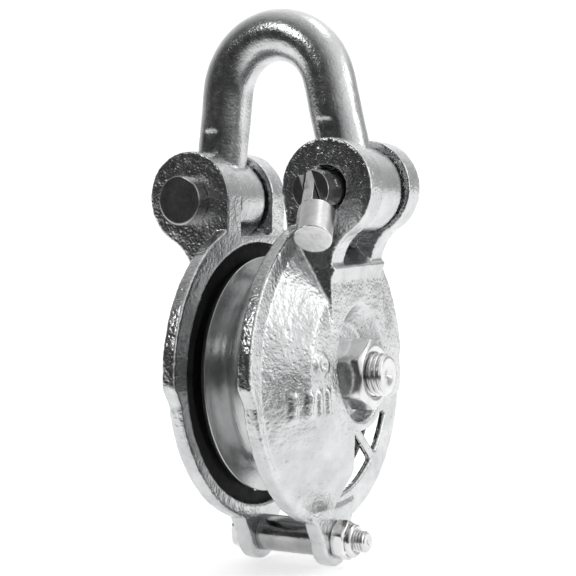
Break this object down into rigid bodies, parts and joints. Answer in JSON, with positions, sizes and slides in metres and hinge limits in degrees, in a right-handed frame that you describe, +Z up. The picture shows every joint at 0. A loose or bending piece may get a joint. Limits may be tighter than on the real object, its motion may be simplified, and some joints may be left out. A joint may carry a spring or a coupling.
{
  "type": "snatch block",
  "caption": "Galvanised cast snatch block: a grooved rope sheave between two cheeks on a through bolt, a forged shackle, a hinge pin and a release pin with a drop-nose latch.",
  "frame": {"origin": "centre of the sheave, on the axle's axis", "axes": "+Y along the axle from the nut towards the bolt head, +Z up towards the shackle's crown, -X towards the side with the hinge pin's head and the latch"},
  "size_m": [0.1492, 0.1196, 0.2635],
  "materials": {
    "cheek_zinc": "hot-dip galvanised over a rough sand casting",
    "shackle_zinc": "hot-dip galvanised forging, rough",
    "sheave_zinc": "zinc plated, smooth turned groove",
    "bush_bronze": "machined bearing bronze",
    "sleeve_steel": "ground steel",
    "fastener_zinc": "bright zinc plated",
    "pin_zinc": "zinc plated, satin",
    "latch_zinc": "bright zinc plated, turned",
    "spacer_zinc": "bright zinc plated tube",
    "insert_nylon": "plain nylon"
  },
  "bodies": {
    "block": {"cheek_nut_side": "cheek_zinc", "cheek_head_side": "cheek_zinc", "shackle": "shackle_zinc", "axle_sleeve": "sleeve_steel", "axle_bolt": "fastener_zinc", "axle_nut": "fastener_zinc", "thrust_washer_nut_side": "bush_bronze", "thrust_washer_head_side": "bush_bronze", "hinge_pin": "pin_zinc", "hinge_pin_washer": "fastener_zinc", "hinge_split_pin": "fastener_zinc", "lower_bolt": "fastener_zinc", "lower_spacer": "spacer_zinc", "lower_lock_nut": "fastener_zinc", "lock_nut_insert": "insert_nylon"},
    "sheave_wheel": {"sheave": "sheave_zinc", "sheave_bush": "bush_bronze"},
    "release_pin_body": {"release_pin": "pin_zinc", "latch_cross_pin": "pin_zinc"},
    "latch": {"latch_nose": "latch_zinc"}
  },
  "joints": [
    {"name": "sheave_spin", "type": "hinge", "parent": "block", "child": "sheave_wheel", "pos_m": [0, 0, 0], "axis": [0, 1, 0], "continuous": true},
    {"name": "release_pin_turn", "type": "hinge", "parent": "block", "child": "release_pin_body", "pos_m": [0, -0.0372, 0.0856], "axis": [1, 0, 0], "continuous": true},
    {"name": "latch_drop", "type": "hinge", "parent": "release_pin_body", "child": "latch", "pos_m": [-0.031, -0.0372, 0.0856], "axis": [0, 0.9588, -0.284], "range_deg": [-20, 116]}
  ]
}
